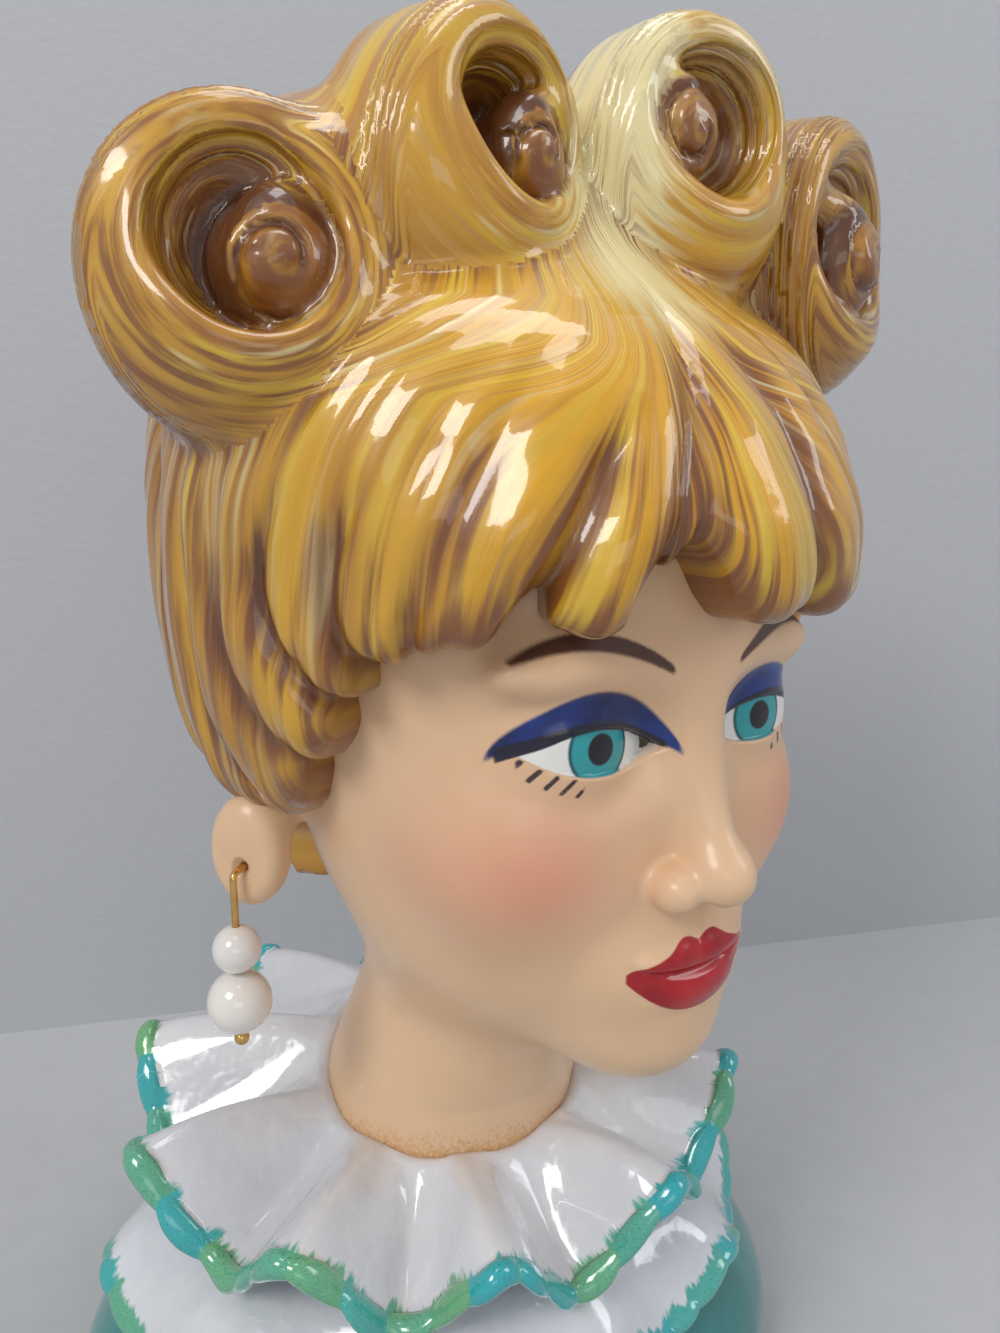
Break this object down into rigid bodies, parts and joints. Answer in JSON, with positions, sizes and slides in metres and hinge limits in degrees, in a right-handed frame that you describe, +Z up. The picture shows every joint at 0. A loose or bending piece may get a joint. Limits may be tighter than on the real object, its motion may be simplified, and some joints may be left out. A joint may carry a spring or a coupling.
{
  "type": "head vase",
  "caption": "Glazed ceramic head vase: a calm young woman's bust with rolled blonde curls round an open crown, a ruffled collar and dangling pearl earrings.",
  "frame": {"origin": "centre of the flat foot, on the surface it stands on", "axes": "+Z up, -Y towards the front of the shoulders, +X to the figure's left"},
  "size_m": [0.1226, 0.099, 0.1916],
  "materials": {
    "dress_glaze": "gloss",
    "skin": "satin",
    "hair_glaze": "gloss",
    "white_glaze": "gloss",
    "brass_wire": "polished",
    "pearl": "pearl lustre"
  },
  "bodies": {
    "vase": {"dress_base": "dress_glaze", "face_and_neck": "skin", "hair_cap": "hair_glaze", "curl_front_right": "hair_glaze", "curl_front_left": "hair_glaze", "curl_side_right": "hair_glaze", "curl_side_left": "hair_glaze", "ruffle_upper": "white_glaze", "ruffle_lower": "white_glaze"},
    "earring_right": {"ear_wire_right": "brass_wire"},
    "pearl_small_right": {"pearl_small_right": "pearl"},
    "pearl_large_right": {"pearl_large_right": "pearl"},
    "earring_left": {"ear_wire_left": "brass_wire"},
    "pearl_small_left": {"pearl_small_left": "pearl"},
    "pearl_large_left": {"pearl_large_left": "pearl"}
  },
  "joints": [
    {"name": "earring_right_swing", "type": "hinge", "parent": "vase", "child": "earring_right", "pos_m": [-0.02709, -0.01506, 0.09096], "axis": [-0.6018, -0.7986, 0], "range_deg": [-25, 25]},
    {"name": "pearl_small_right_spin", "type": "hinge", "parent": "earring_right", "child": "pearl_small_right", "pos_m": [-0.02962, -0.01842, 0.08116], "axis": [0, 0, 1], "continuous": true},
    {"name": "pearl_large_right_spin", "type": "hinge", "parent": "earring_right", "child": "pearl_large_right", "pos_m": [-0.02962, -0.01842, 0.07411], "axis": [0, 0, 1], "continuous": true},
    {"name": "earring_left_swing", "type": "hinge", "parent": "vase", "child": "earring_left", "pos_m": [0.04227, 0.00747, 0.09096], "axis": [0.9563, -0.2924, 0], "range_deg": [-25, 25]},
    {"name": "pearl_small_left_spin", "type": "hinge", "parent": "earring_left", "child": "pearl_small_left", "pos_m": [0.04628, 0.00624, 0.08116], "axis": [0, 0, 1], "continuous": true},
    {"name": "pearl_large_left_spin", "type": "hinge", "parent": "earring_left", "child": "pearl_large_left", "pos_m": [0.04628, 0.00624, 0.07411], "axis": [0, 0, 1], "continuous": true}
  ]
}
